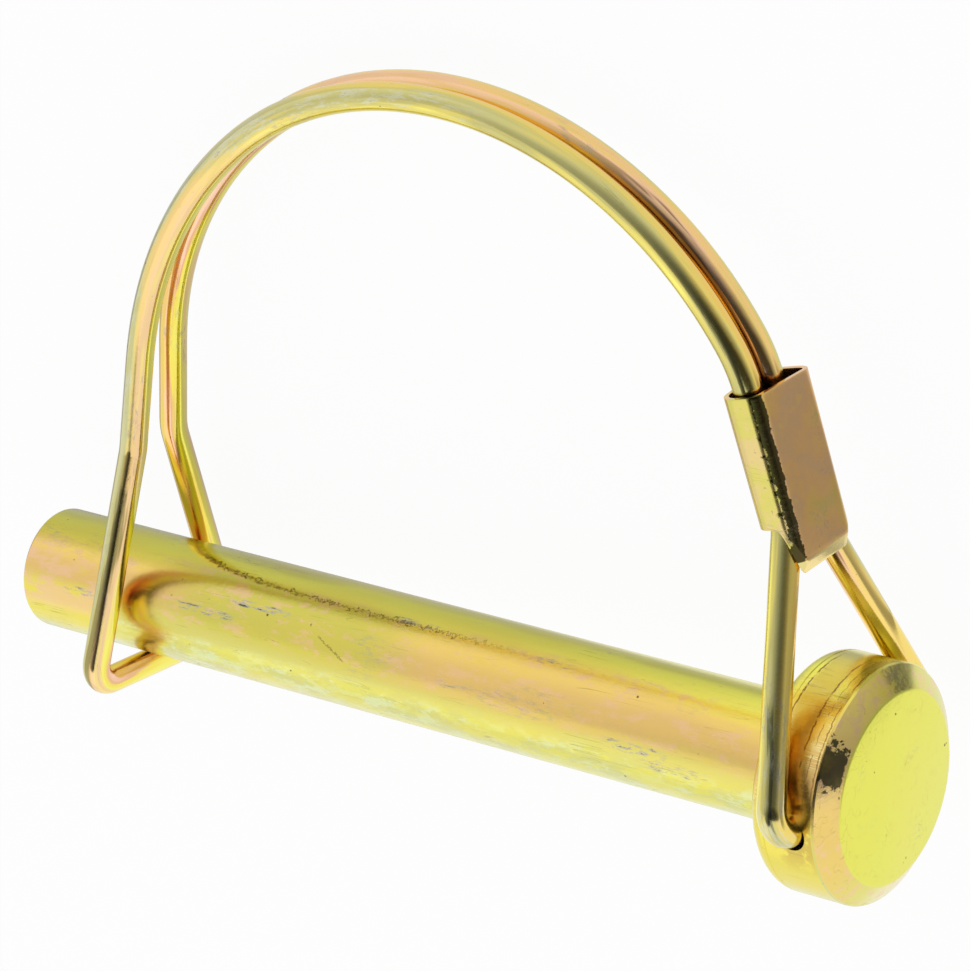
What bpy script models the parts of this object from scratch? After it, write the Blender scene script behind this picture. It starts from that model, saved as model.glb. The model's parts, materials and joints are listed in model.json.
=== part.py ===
"""Wire lock pin: a headed steel pin and a sprung wire bail crimped in a sleeve.

Pin frame, used while modelling: +X runs along the pin from its tip to its head, +Y points
towards the bow of the bail, +Z points to the front side. The finished part lies on its
back side, with the centre of its footprint at the origin.
"""
import math

import bmesh
import bpy
import numpy as np
from mathutils import Matrix, Vector

# Pin
PIN_DIAMETER = 0.009525
PIN_LENGTH = 0.0720
TIP_CHAMFER = 0.0003
HEAD_DIAMETER = 0.0178
HEAD_THICKNESS = 0.0069
HEAD_FACE_CHAMFER = 0.0012
HEAD_FACE_INSET = 0.0018
HEAD_BACK_ROUND = 0.0014
HEAD_BACK_STEPS = 6
PIN_STEPS = 64

# Cross hole in the head, which carries the bail
HOLE_CLEARANCE = 0.0003
HOLE_FROM_HEAD_SEAT = 0.0038
HOOK_END_GAP = 0.0050
HOLE_STEPS = 32

# Bail wire
WIRE_DIAMETER = 0.00215
STRAND_GAP = 0.00045
FRONT_LEG_CLEARANCE = 0.0016
BACK_LEG_CLEARANCE = 0.0014
FRONT_HOOK_RADIUS = 0.0018
BACK_HOOK_RADIUS = 0.0013
SLEEVE_BEND_RADIUS = 0.0030
KINK_BEND_RADIUS = 0.0080
LOOP_BEND_RADIUS = 0.0019

# Bow, from the top of the sleeve to the start of the straight run
BOW_START_BACK = 0.0064
BOW_START_HEIGHT = 0.0295
BOW_START_ANGLE = math.radians(104.0)
BOW_ARCS = (
    (0.0116, math.radians(17.1)),
    (0.0293, math.radians(95.1)),
    (0.0321, math.radians(42.9)),
)
BOW_STEP = math.radians(6.0)
RUN_LENGTH = 0.0078
KINK_HALF_SPREAD = 0.0024

# Loop that catches the tip of the pin
LOOP_FROM_TIP = 0.0094
LOOP_SIDE_CLEARANCE = 0.0007
LOOP_BAR_CLEARANCE = 0.0003
LOOP_TWIST = math.radians(7.0)

# Crimp sleeve, whose narrow sides end early where the legs spread
SLEEVE_LENGTH = 0.0134
SLEEVE_WALL = 0.00040
SLEEVE_CLEARANCE = 0.00025
SLEEVE_TOP_ROOM = 0.00035
SLEEVE_END_ROOM = 0.00090
SLEEVE_TOP_SWELL = 0.0008
SLEEVE_END_SWELL = 0.0002
SLEEVE_INNER_CORNER = 0.0016
SLEEVE_TOP_CORNER = 0.0011
SLEEVE_END_CORNER = 0.0006
SLEEVE_LIP = 0.0010
SLEEVE_EDGE_BREAK = 0.00018
SLEEVE_NOTCH = 0.0036
FRONT_SPREAD_FROM_END = 0.0032
BACK_SPREAD_FROM_END = 0.0052
SLEEVE_CORNER_STEPS = 5
SLEEVE_SIDE_STEPS = 8

PIN_RADIUS = PIN_DIAMETER / 2
HEAD_RADIUS = HEAD_DIAMETER / 2
WIRE_RADIUS = WIRE_DIAMETER / 2
HINGE_X = PIN_LENGTH + HOLE_FROM_HEAD_SEAT
STRAND_OFFSET = WIRE_RADIUS + STRAND_GAP / 2


def clear_scene():
    for item in list(bpy.data.objects):
        bpy.data.objects.remove(item, do_unlink=True)


def metal(name, colour, roughness):
    mat = bpy.data.materials.new(name)
    mat.use_nodes = True
    shader = mat.node_tree.nodes["Principled BSDF"]
    shader.inputs["Base Color"].default_value = (*colour, 1.0)
    shader.inputs["Metallic"].default_value = 1.0
    shader.inputs["Roughness"].default_value = roughness
    mat.diffuse_color = (*colour, 1.0)
    return mat


def add_object(name, data, mat=None, parent=None):
    item = bpy.data.objects.new(name, data)
    bpy.context.scene.collection.objects.link(item)
    if mat is not None:
        data.materials.append(mat)
    item.parent = parent
    return item


def finish_mesh(bm, name):
    bmesh.ops.recalc_face_normals(bm, faces=bm.faces)
    mesh = bpy.data.meshes.new(name)
    bm.to_mesh(mesh)
    bm.free()
    mesh.shade_smooth()
    mesh.set_sharp_from_angle(angle=math.radians(30))
    return mesh


def pin_profile():
    """Half section of the pin as (x, radius) points, from the tip's centre to the face's."""
    points = [(0.0, 0.0), (0.0, PIN_RADIUS - TIP_CHAMFER), (TIP_CHAMFER, PIN_RADIUS)]
    points.append((PIN_LENGTH, PIN_RADIUS))
    for step in range(HEAD_BACK_STEPS + 1):
        turn = math.pi / 2 * step / HEAD_BACK_STEPS
        x = PIN_LENGTH + HEAD_BACK_ROUND * (1 - math.cos(turn))
        radius = HEAD_RADIUS - HEAD_BACK_ROUND * (1 - math.sin(turn))
        points.append((x, radius))
    end = PIN_LENGTH + HEAD_THICKNESS
    points.append((end - HEAD_FACE_CHAMFER, HEAD_RADIUS))
    points.append((end, HEAD_RADIUS - HEAD_FACE_INSET))
    points.append((end, 0.0))
    return points


def build_pin(parent):
    bm = bmesh.new()
    verts = [bm.verts.new((x, radius, 0.0)) for x, radius in pin_profile()]
    edges = [bm.edges.new(pair) for pair in zip(verts, verts[1:])]
    bmesh.ops.spin(bm, geom=verts + edges, cent=(0, 0, 0), axis=(1, 0, 0),
                   angle=2 * math.pi, steps=PIN_STEPS, use_merge=True)
    bmesh.ops.remove_doubles(bm, verts=bm.verts, dist=1e-6)
    mat = metal("zinc_pin", (0.80, 0.74, 0.25), 0.22)
    pin = add_object("pin", finish_mesh(bm, "pin"), mat, parent)

    cut = bmesh.new()
    bmesh.ops.create_cone(cut, cap_ends=True, segments=HOLE_STEPS,
                          radius1=WIRE_RADIUS + HOLE_CLEARANCE,
                          radius2=WIRE_RADIUS + HOLE_CLEARANCE,
                          depth=HEAD_DIAMETER + 2 * PIN_RADIUS)
    cutter = add_object("head_hole_cutter", finish_mesh(cut, "head_hole_cutter"), None, parent)
    cutter.location = (HINGE_X, 0, 0)
    cutter.hide_render = True
    cutter.display_type = "WIRE"
    hole = pin.modifiers.new("head_hole", "BOOLEAN")
    hole.operation = "DIFFERENCE"
    hole.solver = "EXACT"
    hole.object = cutter
    return pin


def rounded(points, radii, step=math.radians(15)):
    """Path through the points, with each inner corner replaced by an arc of its radius."""
    path = [points[0]]
    for i in range(1, len(points) - 1):
        corner = points[i]
        back = (points[i - 1] - corner).normalized()
        ahead = (points[i + 1] - corner).normalized()
        half = back.angle(ahead) / 2
        turn = math.pi - 2 * half
        if radii[i] <= 0 or turn < math.radians(1):
            path.append(corner)
            continue
        centre = corner + (back + ahead).normalized() * radii[i] / math.sin(half)
        start = corner + back * radii[i] / math.tan(half) - centre
        axis = back.cross(ahead).normalized()
        count = max(2, math.ceil(turn / step))
        for k in range(count + 1):
            path.append(centre + Matrix.Rotation(-turn * k / count, 3, axis) @ start)
    path.append(points[-1])
    return path


def bow_start():
    return Vector((HINGE_X - BOW_START_BACK, BOW_START_HEIGHT, 0.0))


def bow_curve():
    """Points of the bow in the plane Z = 0, and the direction in which it ends."""
    place = bow_start()
    heading = BOW_START_ANGLE
    points = [place.copy()]
    for radius, turn in BOW_ARCS:
        count = max(1, math.ceil(turn / BOW_STEP))
        part = turn / count
        chord = 2 * radius * math.sin(part / 2)
        for _ in range(count):
            middle = heading + part / 2
            place = place + chord * Vector((math.cos(middle), math.sin(middle), 0.0))
            heading += part
            points.append(place.copy())
    return points, heading


def kink_point():
    points, heading = bow_curve()
    return points[-1] + RUN_LENGTH * Vector((math.cos(heading), math.sin(heading), 0.0))


def loop_corner(side):
    """Corner of the tip loop on one side, where a leg meets the bar under the pin."""
    kink = kink_point()
    bar = PIN_RADIUS + LOOP_BAR_CLEARANCE + WIRE_RADIUS
    shank_offset = PIN_RADIUS + LOOP_SIDE_CLEARANCE + WIRE_RADIUS
    spread = (shank_offset - KINK_HALF_SPREAD) / kink.y
    low = bar / math.cos(LOOP_TWIST)
    reach = KINK_HALF_SPREAD + spread * (kink.y + low)
    z = reach / (1 + side * spread * math.tan(LOOP_TWIST))
    y = -low + side * z * math.tan(LOOP_TWIST)
    return Vector((LOOP_FROM_TIP, y, side * z))


def leg_offset(side):
    """Distance from the pin's axis to a leg's centre line, level with the head's cross hole."""
    clearance = FRONT_LEG_CLEARANCE if side > 0 else BACK_LEG_CLEARANCE
    return HEAD_RADIUS + clearance + WIRE_RADIUS


def strand(side):
    """Centre line of one half of the bail, from its hook in the head to the start of the loop."""
    axis = Vector((math.cos(BOW_START_ANGLE), math.sin(BOW_START_ANGLE), 0.0))
    top = bow_start()
    top.z = side * STRAND_OFFSET
    from_end = FRONT_SPREAD_FROM_END if side > 0 else BACK_SPREAD_FROM_END
    spread = top - axis * (SLEEVE_LENGTH - from_end)
    hook_end = Vector((HINGE_X, 0.0, side * HOOK_END_GAP / 2))
    elbow = Vector((HINGE_X, 0.0, side * leg_offset(side)))
    hook_radius = FRONT_HOOK_RADIUS if side > 0 else BACK_HOOK_RADIUS
    leg = rounded([hook_end, elbow, spread, top], [0, hook_radius, SLEEVE_BEND_RADIUS, 0])

    bow, _ = bow_curve()
    for point in bow:
        point.z = side * STRAND_OFFSET
    return leg[:-1] + bow


def bail_path():
    front = strand(1)
    back = strand(-1)
    kinks = [kink_point(), kink_point()]
    kinks[0].z = KINK_HALF_SPREAD
    kinks[1].z = -KINK_HALF_SPREAD
    corners = [front[-1], kinks[0], loop_corner(1), loop_corner(-1), kinks[1], back[-1]]
    radii = [0, KINK_BEND_RADIUS, LOOP_BEND_RADIUS, LOOP_BEND_RADIUS, KINK_BEND_RADIUS, 0]
    loop = rounded(corners, radii)
    return front[:-1] + loop + back[-2::-1]


def build_wire(parent):
    path = bail_path()
    data = bpy.data.curves.new("wire_bail", "CURVE")
    data.dimensions = "3D"
    data.bevel_mode = "ROUND"
    data.bevel_depth = WIRE_RADIUS
    data.bevel_resolution = 4
    data.use_fill_caps = True
    spline = data.splines.new("POLY")
    spline.points.add(len(path) - 1)
    hinge = Vector((HINGE_X, 0.0, 0.0))
    for point, place in zip(spline.points, path):
        point.co = (*(place - hinge), 1.0)
    spline.use_smooth = True
    return add_object("wire_bail", data, metal("zinc_wire", (0.86, 0.74, 0.26), 0.18), parent)


def sleeve_outline(depth, front, back, outer_corner, inner_corner):
    """Rounded rectangle as (x, z) points; x runs outwards across the strands, z from back to front."""
    outline = []
    for sx, sz, first in ((1, 1, 0), (-1, 1, 90), (-1, -1, 180), (1, -1, 270)):
        reach = front if sz > 0 else back
        corner = outer_corner if sx > 0 else inner_corner
        for k in range(SLEEVE_CORNER_STEPS + 1):
            turn = math.radians(first + 90 * k / SLEEVE_CORNER_STEPS)
            x = sx * (depth - corner) + corner * math.cos(turn)
            z = sz * (reach - corner) + corner * math.sin(turn)
            outline.append((x, z))
        if first in (0, 180):
            start = outline[-1][0]
            end = -sx * (depth - (inner_corner if sx > 0 else outer_corner))
            for k in range(1, SLEEVE_SIDE_STEPS):
                outline.append((start + (end - start) * k / SLEEVE_SIDE_STEPS, sz * reach))
    return outline


def sleeve_ring(bm, wall, y, top):
    """Ring of vertices at one height, either near the top of the sleeve or near its end.

    Behind the back strand the section has some room and swells outwards. Near the end the
    ring is lifted along the inner and the narrow sides.
    """
    depth = WIRE_RADIUS + SLEEVE_CLEARANCE + wall
    front = STRAND_OFFSET + depth
    back = front + (SLEEVE_TOP_ROOM if top else SLEEVE_END_ROOM)
    swell = SLEEVE_TOP_SWELL if top else SLEEVE_END_SWELL
    notch = 0.0 if top else SLEEVE_NOTCH
    corner = (SLEEVE_TOP_CORNER if top else SLEEVE_END_CORNER) - SLEEVE_WALL + wall
    inner_corner = SLEEVE_INNER_CORNER - SLEEVE_WALL + wall
    ring = []
    for x, z in sleeve_outline(depth, front, back, corner, inner_corner):
        outward = max(0.0, x / depth)
        lift = notch * (1 - outward ** 3)
        bulge = swell * outward * (front - z) / (front + back)
        ring.append(bm.verts.new((x + bulge, y + lift, z)))
    return ring


def build_sleeve(parent):
    broken = SLEEVE_WALL - SLEEVE_EDGE_BREAK
    end = -SLEEVE_LENGTH
    rings = (
        (broken, end, False),
        (SLEEVE_WALL, end + SLEEVE_LIP, False),
        (SLEEVE_WALL, -SLEEVE_EDGE_BREAK, True),
        (broken, 0.0, True),
        (0.0, 0.0, True),
        (0.0, end + SLEEVE_LIP, False),
        (0.0, end, False),
    )
    bm = bmesh.new()
    loops = [sleeve_ring(bm, *ring) for ring in rings]
    for a, b in zip(loops, loops[1:] + loops[:1]):
        for i in range(len(a)):
            j = (i + 1) % len(a)
            bm.faces.new((a[i], a[j], b[j], b[i]))
    mat = metal("zinc_sleeve", (0.72, 0.60, 0.26), 0.25)
    sleeve = add_object("crimp_sleeve", finish_mesh(bm, "crimp_sleeve"), mat, parent)
    sleeve.location = bow_start() - Vector((HINGE_X, 0.0, 0.0))
    sleeve.rotation_euler = (0.0, 0.0, BOW_START_ANGLE - math.pi / 2)
    return sleeve


def world_points(items):
    graph = bpy.context.evaluated_depsgraph_get()
    clouds = []
    for item in items:
        final = item.evaluated_get(graph)
        mesh = final.to_mesh()
        clouds.append(np.array([final.matrix_world @ v.co for v in mesh.vertices]))
        final.to_mesh_clear()
    return clouds


def lay_down(base, items):
    """Turn the part until hook bend, loop corner and bow touch the surface it lies on."""
    bpy.context.view_layer.update()
    wire = world_points([items[1]])[0]
    at_head = wire[(wire[:, 0] > PIN_LENGTH / 2) & (wire[:, 1] < HEAD_RADIUS)]
    at_loop = wire[(wire[:, 0] < PIN_LENGTH / 2) & (wire[:, 1] < PIN_RADIUS)]
    at_bow = wire[wire[:, 1] > wire[:, 1].max() * 0.7]
    normal = np.array([0.0, 0.0, 1.0])
    for _ in range(12):
        a, b, c = [group[np.argmin(group @ normal)] for group in (at_head, at_loop, at_bow)]
        normal = np.cross(c - a, b - a)
        normal = normal / np.linalg.norm(normal)
        if normal[2] < 0:
            normal = -normal
    turn = Vector(normal).rotation_difference(Vector((0, 0, 1))).to_matrix().to_4x4()
    points = np.vstack(world_points(items)) @ np.array(turn.to_3x3()).T
    low = points.min(axis=0)
    high = points.max(axis=0)
    shift = Matrix.Translation((-(low[0] + high[0]) / 2, -(low[1] + high[1]) / 2, -low[2]))
    base.matrix_world = shift @ turn
    bpy.context.view_layer.update()


def main():
    clear_scene()
    base = add_object("rest_frame", None)
    hinge = add_object("bail_hinge", None, None, base)
    hinge.location = (HINGE_X, 0.0, 0.0)
    pin = build_pin(base)
    wire = build_wire(hinge)
    sleeve = build_sleeve(hinge)
    lay_down(base, (pin, wire, sleeve))


main()
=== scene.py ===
"""Looks of the wire lock pin: a headed pin, a sprung wire bail and the sleeve crimped round it.

Each piece is modelled in the pin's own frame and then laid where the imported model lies:
+X runs from the tip to the head, +Y towards the bow of the bail, +Z to the front side.
"""

import json
import math

import bmesh
import bpy
import numpy as np
from bpy.props import FloatProperty, FloatVectorProperty, PointerProperty
from mathutils import Matrix, Vector


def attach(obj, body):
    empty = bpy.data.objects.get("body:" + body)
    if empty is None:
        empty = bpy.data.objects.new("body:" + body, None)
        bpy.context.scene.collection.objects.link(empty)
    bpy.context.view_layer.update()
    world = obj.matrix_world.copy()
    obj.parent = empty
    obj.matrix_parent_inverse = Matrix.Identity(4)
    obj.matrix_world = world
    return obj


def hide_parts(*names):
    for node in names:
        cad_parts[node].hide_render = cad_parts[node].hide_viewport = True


bl_info = {
    "name": "Wire Lock Pin",
    "version": (1, 0, 0),
    "blender": (4, 5, 0),
    "location": "3D View > Sidebar > Lock Pin",
    "description": "Builds a zinc plated wire lock pin and a light table to look at it on",
    "category": "Add Mesh",
}

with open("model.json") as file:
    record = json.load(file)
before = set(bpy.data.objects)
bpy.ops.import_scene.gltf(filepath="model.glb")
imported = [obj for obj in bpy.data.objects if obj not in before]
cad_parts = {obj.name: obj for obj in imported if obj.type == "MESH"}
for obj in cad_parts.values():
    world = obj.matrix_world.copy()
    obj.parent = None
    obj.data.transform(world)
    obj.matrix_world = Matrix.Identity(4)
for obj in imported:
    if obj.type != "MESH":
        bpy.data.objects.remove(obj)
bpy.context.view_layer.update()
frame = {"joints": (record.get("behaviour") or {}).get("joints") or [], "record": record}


def mount_place(name):
    mounts = {mount["name"]: mount for mount in frame["record"]["mounts"]}
    return Vector(mounts[name]["pos_m"])


def find_pin_frame():
    """Matrix that lays the pin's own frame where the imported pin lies."""
    tip = mount_place("tip_face")
    along = (mount_place("head_face") - tip).normalized()
    front = Vector(frame["joints"][0]["axis"])
    front = (front - along * front.dot(along)).normalized()
    up = front.cross(along)
    turn = Matrix((along, up, front)).transposed().to_4x4()
    return Matrix.Translation(tip) @ turn


# Colours of the passivation, of its marks and of painted light and shade, as linear red, green and
# blue
MINT = (0.76, 0.84, 0.46)
VIVID_LEMON = (0.83, 0.77, 0.09)
MOSS = (0.66, 0.62, 0.11)
PINK = (0.90, 0.56, 0.36)
DEEP_GOLD = (0.82, 0.64, 0.12)
TIP_LEMON = (0.88, 0.76, 0.11)
TIP_BLUSH = (0.90, 0.58, 0.36)
RUBBED_GREY = (0.47, 0.46, 0.37)
RUBBED_PIT = (0.10, 0.09, 0.06)
# Painted reflection: the bail's dark reflection as a ragged line on the shank
PAINTED_REFLECTION_LINE = (0.09, 0.075, 0.02)
CUT = (0.20, 0.16, 0.06)
DRAWN_DARK = (0.42, 0.26, 0.06)
DRAWN_BRIGHT = (1.0, 0.92, 0.46)
TAN = (0.66, 0.40, 0.08)
RING = (0.28, 0.15, 0.04)
HEAD_LEMON = (0.83, 0.715, 0.12)
# Painted shade and dark reflection by the hook and its hole on the head's side
PAINTED_SHADE_BY_HOOK = (0.45, 0.26, 0.08)
BEVEL_BLUSH = (0.92, 0.60, 0.40)
# Painted reflection: the tent's dark opening mirrored in the head's bevel
PAINTED_REFLECTION_BLACK = (0.045, 0.045, 0.025)
SMUDGE = (0.26, 0.24, 0.11)
FACE_LEMON = (0.83, 0.82, 0.13)
FACE_GOLD = (0.86, 0.78, 0.16)
BROWN = (0.16, 0.08, 0.045)
DULL = (0.20, 0.19, 0.07)
LEG_GOLD = (1.0, 0.76, 0.20)
LEG_RUST = (0.50, 0.27, 0.045)
# Painted reflection: dark stripe on the front leg by the head
PAINTED_LEG_REFLECTION = (0.12, 0.13, 0.06)
WORN = (0.70, 0.70, 0.56)
DIRT = (0.28, 0.27, 0.18)
SLEEVE_BLUSH = (0.94, 0.56, 0.30)
SLEEVE_OLIVE = (0.72, 0.58, 0.15)
# Painted reflection: dark line along the sleeve's rounded front corner
PAINTED_CORNER_REFLECTION = (0.035, 0.037, 0.012)
# Painted highlight: the sleeve's turned-in lip
PAINTED_LIP_HIGHLIGHT = (1.0, 0.84, 0.34)

# Rubs on the shank: place along it, half length, place round it in degrees, spread, strength
SHANK_RUBS = (
    (0.0594, 0.0017, 6.5, 3.0, 1.0), (0.0183, 0.0020, 27.5, 2.2, 0.70),
    (0.0242, 0.0020, 43.5, 2.2, 0.95), (0.0380, 0.0012, 68.0, 2.0, 0.70),
    (0.0440, 0.0016, 20.0, 2.6, 0.45), (0.0630, 0.0018, -4.0, 3.5, 0.55),
    (0.0510, 0.0012, 64.0, 2.0, 0.70), (0.0062, 0.0011, 14.0, 2.8, 0.70),
)

# Bands round a piece: fraction of the turn, colour
BEVEL_BANDS = (
    (0.25, (0.88, 0.84, 0.48)), (0.34, (0.80, 0.74, 0.21)), (0.42, (0.87, 0.65, 0.19)),
    (0.50, (0.86, 0.62, 0.20)), (0.60, (0.92, 0.66, 0.25)), (0.72, (1.0, 0.80, 0.22)),
    (0.765, (0.95, 0.78, 0.16)), (0.80, (0.50, 0.47, 0.12)), (0.85, (0.76, 0.74, 0.22)),
)
FRONT_WIRE_BANDS = (
    (0.00, (0.90, 0.70, 0.18)), (0.08, (0.96, 0.64, 0.16)), (0.14, (0.94, 0.60, 0.22)),
    (0.45, (0.95, 0.80, 0.13)), (0.60, (0.98, 0.84, 0.14)), (0.69, (0.95, 0.86, 0.20)),
    (0.75, (0.76, 0.65, 0.17)), (0.805, (0.57, 0.52, 0.19)), (0.86, (0.62, 0.58, 0.23)),
    (0.92, (0.67, 0.62, 0.24)), (0.97, (0.76, 0.65, 0.20)), (1.00, (0.90, 0.70, 0.18)),
)
BACK_WIRE_BANDS = (
    (0.00, (0.82, 0.67, 0.18)), (0.08, (0.98, 0.66, 0.25)), (0.145, (0.96, 0.61, 0.36)),
    (0.20, (0.88, 0.57, 0.24)), (0.26, (0.86, 0.68, 0.14)), (0.31, (0.92, 0.62, 0.20)),
    (0.36, (0.99, 0.62, 0.46)), (0.41, (0.84, 0.50, 0.26)), (0.45, (0.96, 0.80, 0.14)),
    (0.53, (0.96, 0.90, 0.18)), (0.585, (0.95, 0.76, 0.26)), (0.64, (0.90, 0.62, 0.33)),
    (0.695, (0.92, 0.64, 0.26)), (0.75, (0.80, 0.63, 0.22)), (0.805, (0.60, 0.58, 0.26)),
    (0.865, (0.68, 0.64, 0.35)), (0.94, (0.66, 0.62, 0.28)), (1.00, (0.82, 0.67, 0.18)),
)
WIDE_SIDE_TINTS = (
    (0.32, (0.78, 0.59, 0.17)), (0.43, (0.90, 0.58, 0.18)), (0.51, (0.90, 0.54, 0.20)),
    (0.60, (0.81, 0.52, 0.25)), (0.70, (0.92, 0.61, 0.16)),
)
NARROW_SIDE_TINTS = (
    (0.36, (0.56, 0.58, 0.20)), (0.48, (0.68, 0.61, 0.15)), (0.60, (0.74, 0.58, 0.24)),
)

# The bow's three arcs, from the sleeve to the tip: radius, degrees
BOW_ARCS = ((0.0116, 17.1), (0.0293, 95.1), (0.0321, 42.9))

# Tent: direction as azimuth and elevation, then strength over the fraction of a half turn off it
OPENING_WAY = (-5.0, 55.0)
OPENING_TONES = ((0.225, 0.17), (0.28, 0.37), (0.335, 0.56), (0.39, 0.76), (0.45, 0.88), (0.60, 0.97))
GAP_WAY = (-1.0, 32.0)
GAP_TONES = ((0.12, 0.20), (0.17, 0.42), (0.25, 0.66), (0.36, 1.0))
LIT_WALL_WAY = (-95.5, 5.5)

# Table's painted shade, seen in reflections: tone over the fraction of a turn round the shade's
# place, and the shadow spot by the sleeve
TABLE_SHADE_TONES = (
    (0.00, 0.50), (0.02, 0.60), (0.04, 1.0), (0.43, 1.0), (0.45, 0.36), (0.50, 0.38),
    (0.53, 0.44), (0.56, 0.52), (0.59, 0.62), (0.63, 0.76), (0.67, 0.86), (0.87, 0.88),
    (0.92, 0.76), (0.97, 0.60), (1.00, 0.50),
)
# Painted shadow: the pin's contact shade by the sleeve, seen in reflections
PAINTED_SHADOW_SPOT = (0.0435, 0.002, 0.0)
PAINTED_SHADOW_TONE = 0.40
TABLE_DROP = 0.00004

# Camera fitted to the photograph, in the pin's own frame
SENSOR_MM = 36.0
FOCAL_PER_HEIGHT = 4895.5 / 971
CAMERA_RIGHT = (0.7967, -0.0858, -0.5982)
CAMERA_BACK = (0.5737, 0.4183, 0.7041)
CAMERA_SHIFT = (-35.473, -6.779, -411.056)
SHIFT_UNIT = 0.0009525

LAMP_PLACE = (-0.35, -0.55, 0.8)
LAMP_SIZE = 0.9
LAMP_POWER = 0.35

PIN_FRAME = find_pin_frame()
PIN_TOTAL = (mount_place("head_face") - mount_place("tip_face")).length
HINGE_X = (Vector(frame["joints"][0]["pos_m"]) - mount_place("tip_face")).length


def length(name, description, default):
    return FloatProperty(name=name, description=description, default=default,
                         min=0.0, unit="LENGTH", precision=5)


def turn(name, description, degrees):
    return FloatProperty(name=name, description=description,
                         default=math.radians(degrees), subtype="ANGLE")


def colour(name, description, default):
    return FloatVectorProperty(name=name, description=description, default=default,
                               subtype="COLOR", size=3, min=0.0, max=1.0)


class PinSizes(bpy.types.PropertyGroup):
    total: length("Length over all", "From the tip face to the head face", PIN_TOTAL)
    radius: length("Shank radius", "Half the diameter of the shank", 0.0047625)
    head_radius: length("Head radius", "Half the diameter of the head", 0.0089)
    head_thick: length("Head thickness", "From the seat to the face", 0.0069)
    tip_edge: length("Tip edge", "Rounding of the edge at the tip", 0.00030)
    back_round: length("Back rounding", "Radius of the head's back edge", 0.0014)
    face_drop: length("Face bevel depth", "Depth of the bevel on the face edge", 0.0012)
    face_inset: length("Face bevel width", "Width of the bevel on the face edge", 0.0018)
    part_line: length("Parting line", "Depth of the forged line round the head", 0.00004)
    hole_gap: length("Hole clearance", "Room round the wire in the cross hole", 0.00019)
    hole_back: length("Hole offset to tip", "How far the hole lies off the wire", 0.00008)
    hole_drop: length("Hole drop", "How far the hole lies below the wire", 0.00019)


class WireSizes(bpy.types.PropertyGroup):
    radius: length("Wire radius", "Half the diameter of the wire", 0.001075)
    strand_gap: length("Strand gap", "Gap between the strands of the bow", 0.00042)
    end_gap: length("End gap", "Gap between the wire ends in the head", 0.0050)
    front_leg: length("Front leg clearance", "From the head to the front leg", 0.00154)
    back_leg: length("Back leg clearance", "From the head to the back leg", 0.0004)
    front_hook: length("Front hook radius", "Centre line bend radius", 0.0018)
    back_hook: length("Back hook radius", "Centre line bend radius", 0.0017)
    spread_bend: length("Spread bend radius", "Bend where a leg leaves the sleeve", 0.0030)
    front_kink: length("Front kink radius", "Bend where the front strand parts", 0.0030)
    back_kink: length("Back kink radius", "Bend where the back strand parts", 0.0070)
    loop_bend: length("Loop bend radius", "Bend at the corners of the tip loop", 0.0019)
    run: length("Straight run", "From the bow to the kink", 0.0078)
    kink_spread: length("Kink spread", "Half the distance between the kinks", 0.0024)
    loop_x: length("Loop place", "From the tip face to the loop", 0.0094)
    loop_side: length("Loop side clearance", "From the shank to the loop's legs", 0.0007)
    loop_bar: length("Loop bar clearance", "From the shank to the loop's bar", 0.00006)
    loop_twist: turn("Loop twist", "Lean of the bar about the pin", 7.0)


class SleeveSizes(bpy.types.PropertyGroup):
    back: length("Start behind hinge", "From the hinge back to the sleeve's top", 0.0064)
    height: length("Start height", "From the pin's axis to the sleeve's top", 0.02949)
    angle: turn("Lean", "Direction of the strands in the sleeve", 104.0)
    length: length("Sleeve length", "Length of the wide side", 0.0134)
    wall: length("Wall", "Thickness of the bent strip", 0.00036)
    gap: length("Clearance", "Room between the strip and the wires", 0.00026)
    top_room: length("Top room", "Extra room behind the strands at the top", 0.00035)
    end_room: length("End room", "Extra room behind the strands at the end", 0.00085)
    top_swell: length("Top swell", "Outward swell at the back, at the top", 0.0008)
    end_swell: length("End swell", "Outward swell at the back, at the end", 0.0001)
    inner_corner: length("Inner corner", "Radius of the inner corners", 0.0015)
    outer_corner: length("Outer corner", "Radius of the outer corners", 0.0009)
    notch: length("Notch", "How much shorter the narrow sides are", 0.0036)
    lip: length("Lip", "Height of the turned-in lip at the end", 0.0010)
    lip_tuck: length("Lip tuck", "How far the lip is turned in", 0.00055)
    from_front: length("Front spread", "From the end to the front leg's bend", 0.0032)
    from_back: length("Back spread", "From the end to the back leg's bend", 0.0052)


class FinishColours(bpy.types.PropertyGroup):
    lemon: colour("Lemon", "Bright green-yellow passivation", (0.80, 0.77, 0.115))
    gold: colour("Gold", "Warm yellow passivation", (0.90, 0.66, 0.095))
    peach: colour("Peach", "Pink-tan passivation", (0.86, 0.55, 0.19))
    pale: colour("Pale", "Nearly bare zinc with a green cast", (0.74, 0.74, 0.32))
    scratch: colour("Scratch", "Brown line of a scratch", (0.20, 0.13, 0.05))
    scuff: colour("Scuff", "Rubbed grey zinc", (0.42, 0.41, 0.36))
    speck: colour("Speck", "Dark pit", (0.06, 0.05, 0.03))


class StageSettings(bpy.types.PropertyGroup):
    floor_size: length("Table size", "Side of the light table", 3.0)
    floor_colour: colour("Table colour", "White of the table", (0.98, 0.98, 0.98))
    glow: FloatProperty(name="Table glow", description="Light that the table sends out",
                        default=0.95, min=0.0)
    shade_x: FloatProperty(name="Shade place X", description="Where the table's shade starts",
                           default=0.036, unit="LENGTH", precision=4)
    shade_y: FloatProperty(name="Shade place Y", description="Where the table's shade starts",
                           default=-0.012, unit="LENGTH", precision=4)
    dark_side: FloatProperty(name="Dark side", description="Strength in the tent's opening",
                             default=0.045, min=0.0)
    bright_side: FloatProperty(name="Bright side", description="Strength of the lit wall",
                               default=1.0, min=0.0)


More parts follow.
